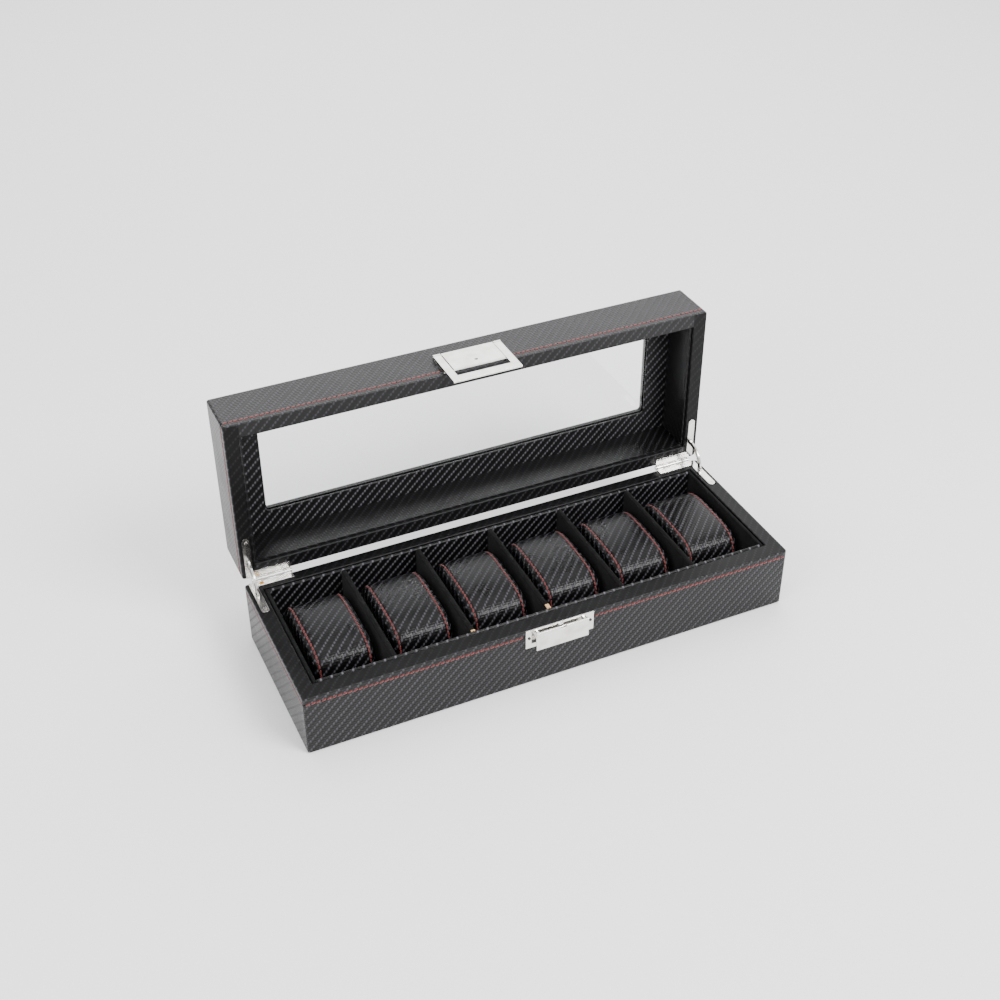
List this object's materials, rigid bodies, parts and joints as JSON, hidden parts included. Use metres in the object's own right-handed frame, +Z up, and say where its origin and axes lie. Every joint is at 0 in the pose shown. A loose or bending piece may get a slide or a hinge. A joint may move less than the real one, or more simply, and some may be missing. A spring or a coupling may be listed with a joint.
{
  "type": "watch box",
  "caption": "Long box in carbon-weave leatherette with a glazed hinged lid, swing hasp and flip catch, and lift-out watch cushions between dividers.",
  "frame": {"origin": "centre of the base's underside, on the felt", "axes": "+X to the right along the length, +Y to the rear where the lid is hinged, +Z up"},
  "size_m": [0.32, 0.1518, 0.1591],
  "materials": {
    "leatherette": "embossed carbon weave, semi-gloss",
    "suede": "short nap, matt",
    "fibreboard": "raw",
    "felt": "matt",
    "thread": "twisted polyester",
    "foam": "open cell",
    "glass": "clear float",
    "nickel": "bright plated"
  },
  "bodies": {
    "base": {"base_front_board": "fibreboard", "base_rear_board": "fibreboard", "base_left_board": "fibreboard", "base_right_board": "fibreboard", "base_floor_board": "fibreboard", "base_cover": "leatherette", "base_underlay": "felt", "base_stitching": "thread", "liner_front": "leatherette", "liner_rear": "leatherette", "liner_left": "suede", "liner_right": "suede", "tray_floor": "suede", "divider_1": "suede", "divider_2": "suede", "divider_3": "suede", "divider_4": "suede", "divider_5": "suede", "left_base_leaf": "nickel", "right_base_leaf": "nickel", "left_hinge_pin": "nickel", "right_hinge_pin": "nickel", "base_hinge_screws": "nickel", "catch_plate": "nickel", "catch_pin": "nickel", "catch_spring": "nickel", "catch_nails": "nickel"},
    "lid": {"lid_front_board": "fibreboard", "lid_rear_board": "fibreboard", "lid_left_board": "fibreboard", "lid_right_board": "fibreboard", "lid_top_frame": "fibreboard", "lid_cover": "leatherette", "lid_stitching": "thread", "lid_glass": "glass", "glass_retainer": "leatherette", "lid_lining": "suede", "left_lid_leaf": "nickel", "right_lid_leaf": "nickel", "lid_hinge_screws": "nickel", "hasp_plate": "nickel", "hasp_pin": "nickel", "hasp_nails": "nickel"},
    "hasp_loop": {"hasp_loop": "nickel"},
    "catch_lever": {"catch_lever": "nickel"},
    "left_stay": {"left_stay": "nickel"},
    "right_stay": {"right_stay": "nickel"},
    "cushion_1": {"cushion_1": "leatherette", "cushion_core_1": "foam"},
    "cushion_2": {"cushion_2": "leatherette", "cushion_core_2": "foam"},
    "cushion_3": {"cushion_3": "leatherette", "cushion_core_3": "foam"},
    "cushion_4": {"cushion_4": "leatherette", "cushion_core_4": "foam"},
    "cushion_5": {"cushion_5": "leatherette", "cushion_core_5": "foam"},
    "cushion_6": {"cushion_6": "leatherette", "cushion_core_6": "foam"}
  },
  "joints": [
    {"name": "lid_hinge", "type": "hinge", "parent": "base", "child": "lid", "pos_m": [0, 0.0574, 0.043], "axis": [-1, 0, 0], "range_deg": [-90, 0]},
    {"name": "left_stay_turn", "type": "hinge", "parent": "base", "child": "left_stay", "pos_m": [-0.1553, 0.0574, 0.043], "axis": [-1, 0, 0], "range_deg": [-45, 0]},
    {"name": "right_stay_turn", "type": "hinge", "parent": "base", "child": "right_stay", "pos_m": [0.1553, 0.0574, 0.043], "axis": [-1, 0, 0], "range_deg": [-45, 0]},
    {"name": "hasp_swing", "type": "hinge", "parent": "lid", "child": "hasp_loop", "pos_m": [0, 0.0766, 0.15765], "axis": [-1, 0, 0], "range_deg": [0, 90]},
    {"name": "catch_flip", "type": "hinge", "parent": "base", "child": "catch_lever", "pos_m": [0, -0.058, 0.04], "axis": [-1, 0, 0], "range_deg": [0, 65]},
    {"name": "cushion_1_lift", "type": "slide", "parent": "base", "child": "cushion_1", "axis": [0, 0, 1], "range_m": [0, 0.08]},
    {"name": "cushion_2_lift", "type": "slide", "parent": "base", "child": "cushion_2", "axis": [0, 0, 1], "range_m": [0, 0.08]},
    {"name": "cushion_3_lift", "type": "slide", "parent": "base", "child": "cushion_3", "axis": [0, 0, 1], "range_m": [0, 0.08]},
    {"name": "cushion_4_lift", "type": "slide", "parent": "base", "child": "cushion_4", "axis": [0, 0, 1], "range_m": [0, 0.08]},
    {"name": "cushion_5_lift", "type": "slide", "parent": "base", "child": "cushion_5", "axis": [0, 0, 1], "range_m": [0, 0.08]},
    {"name": "cushion_6_lift", "type": "slide", "parent": "base", "child": "cushion_6", "axis": [0, 0, 1], "range_m": [0, 0.08]}
  ],
  "couplings": [
    {"joint": "left_stay_turn", "follows": "lid_hinge", "ratio": 0.5},
    {"joint": "right_stay_turn", "follows": "lid_hinge", "ratio": 0.5}
  ]
}
